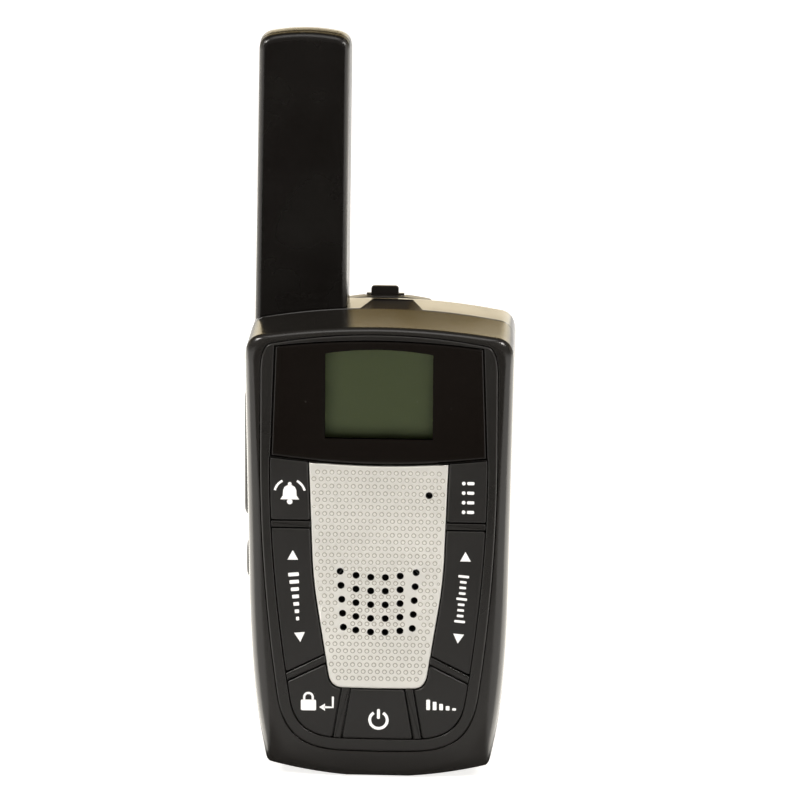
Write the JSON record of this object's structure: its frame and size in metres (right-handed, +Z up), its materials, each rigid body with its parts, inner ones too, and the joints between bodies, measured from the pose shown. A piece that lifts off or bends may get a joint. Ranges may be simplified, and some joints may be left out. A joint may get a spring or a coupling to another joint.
{
  "type": "two way radio",
  "caption": "Handheld two way radio: black two-shell casing, fixed stub antenna, gloss display window, silver speaker panel, front keys, side talk button and a sprung belt clip.",
  "frame": {"origin": "centre of the flat land under the casing, where the radio stands", "axes": "+Z up along the casing to the antenna, +X to the right seen from the front, +Y to the back; the face looks along -Y"},
  "size_m": [0.0599, 0.0382, 0.1652],
  "materials": {
    "casing": "satin black moulded plastic",
    "bezel": "satin black moulded plastic",
    "lens": "gloss black window with a clear screen area",
    "silver": "metallic silver paint over fine moulded dimples",
    "key": "satin charcoal plastic with printed white symbols",
    "side_rubber": "matt black rubber",
    "antenna": "fine-textured black plastic",
    "lcd": "grey-green reflective display",
    "white_plastic": "white moulded plastic",
    "silicone": "grey silicone",
    "board": "green solder mask",
    "steel": "plated steel",
    "ferrite": "dark ferrite magnet",
    "paper": "dark treated paper",
    "aluminium": "satin aluminium can",
    "brass": "bare brass",
    "cell": "plain blue cell wrap",
    "clip": "satin black moulded plastic"
  },
  "bodies": {
    "casing": {"front_casing": "casing", "rear_casing": "casing", "face_bezel": "bezel", "display_lens": "lens", "speaker_grille": "silver", "lcd_module": "lcd", "backlight_guide": "white_plastic", "keypad_mat": "silicone", "main_board": "board", "rf_shield": "steel", "speaker_frame": "steel", "speaker_gasket": "silicone", "microphone_boot": "silicone", "speaker_cone": "paper", "speaker_magnet": "ferrite", "microphone": "aluminium", "talk_switch": "white_plastic", "monitor_switch": "white_plastic", "accessory_jack": "casing", "antenna_cover": "antenna", "antenna_coil": "brass", "antenna_feed": "brass", "battery_cell_1": "cell", "battery_spring_1": "steel", "battery_contact_1": "steel", "battery_cell_2": "cell", "battery_spring_2": "steel", "battery_contact_2": "steel", "battery_cell_3": "cell", "battery_spring_3": "steel", "battery_contact_3": "steel", "case_screw_1": "steel", "case_screw_2": "steel", "case_screw_3": "steel", "case_screw_4": "steel"},
    "battery_door": {"battery_door": "casing"},
    "clip": {"clip_carrier": "clip", "clip_pin": "steel", "clip_spring": "steel"},
    "clip_latch": {"clip_latch": "clip"},
    "clip_arm": {"clip_arm": "clip"},
    "talk_button": {"talk_button": "side_rubber"},
    "monitor_button": {"monitor_button": "side_rubber"},
    "jack_cover": {"jack_cover": "side_rubber"},
    "call_key": {"call_key": "key"},
    "mode_key": {"mode_key": "key"},
    "volume_rocker": {"volume_rocker": "key"},
    "channel_rocker": {"channel_rocker": "key"},
    "lock_enter_key": {"lock_enter_key": "key"},
    "power_key": {"power_key": "key"},
    "hi_lo_key": {"hi_lo_key": "key"}
  },
  "joints": [
    {"name": "call_key_press", "type": "slide", "parent": "casing", "child": "call_key", "axis": [0, 1, 0], "range_m": [0, 0.0007], "stiffness_N_per_m": 1200},
    {"name": "mode_key_press", "type": "slide", "parent": "casing", "child": "mode_key", "axis": [0, 1, 0], "range_m": [0, 0.0007], "stiffness_N_per_m": 1200},
    {"name": "lock_enter_key_press", "type": "slide", "parent": "casing", "child": "lock_enter_key", "axis": [0, 1, 0], "range_m": [0, 0.0007], "stiffness_N_per_m": 1200},
    {"name": "power_key_press", "type": "slide", "parent": "casing", "child": "power_key", "axis": [0, 1, 0], "range_m": [0, 0.0007], "stiffness_N_per_m": 1200},
    {"name": "hi_lo_key_press", "type": "slide", "parent": "casing", "child": "hi_lo_key", "axis": [0, 1, 0], "range_m": [0, 0.0007], "stiffness_N_per_m": 1200},
    {"name": "volume_rocker_tilt", "type": "hinge", "parent": "casing", "child": "volume_rocker", "pos_m": [0, -0.0126, 0.0411], "axis": [1, 0, 0], "range_deg": [-2, 2], "stiffness_Nm_per_rad": 0.4},
    {"name": "channel_rocker_tilt", "type": "hinge", "parent": "casing", "child": "channel_rocker", "pos_m": [0, -0.0126, 0.0411], "axis": [1, 0, 0], "range_deg": [-2, 2], "stiffness_Nm_per_rad": 0.4},
    {"name": "talk_press", "type": "slide", "parent": "casing", "child": "talk_button", "axis": [1, 0, 0], "range_m": [0, 0.0011], "stiffness_N_per_m": 2000},
    {"name": "monitor_press", "type": "slide", "parent": "casing", "child": "monitor_button", "axis": [1, 0, 0], "range_m": [0, 0.0008], "stiffness_N_per_m": 2000},
    {"name": "jack_cover_hinge", "type": "hinge", "parent": "casing", "child": "jack_cover", "pos_m": [0.0292, -0.0001, 0.083], "axis": [0, 0, 1], "range_deg": [0, 110]},
    {"name": "battery_door_slide", "type": "slide", "parent": "casing", "child": "battery_door", "axis": [0, 0, -1], "range_m": [0, 0.012]},
    {"name": "clip_slide", "type": "slide", "parent": "casing", "child": "clip", "axis": [0, 0, 1], "range_m": [0, 0.024]},
    {"name": "clip_arm_hinge", "type": "hinge", "parent": "clip", "child": "clip_arm", "pos_m": [0, 0.0196, 0.094], "axis": [1, 0, 0], "range_deg": [0, 16], "stiffness_Nm_per_rad": 1, "springref_deg": -8.59},
    {"name": "clip_latch_flex", "type": "hinge", "parent": "clip", "child": "clip_latch", "pos_m": [0, 0.0168, 0.0987], "axis": [-1, 0, 0], "range_deg": [0, 6], "stiffness_Nm_per_rad": 0.2}
  ]
}
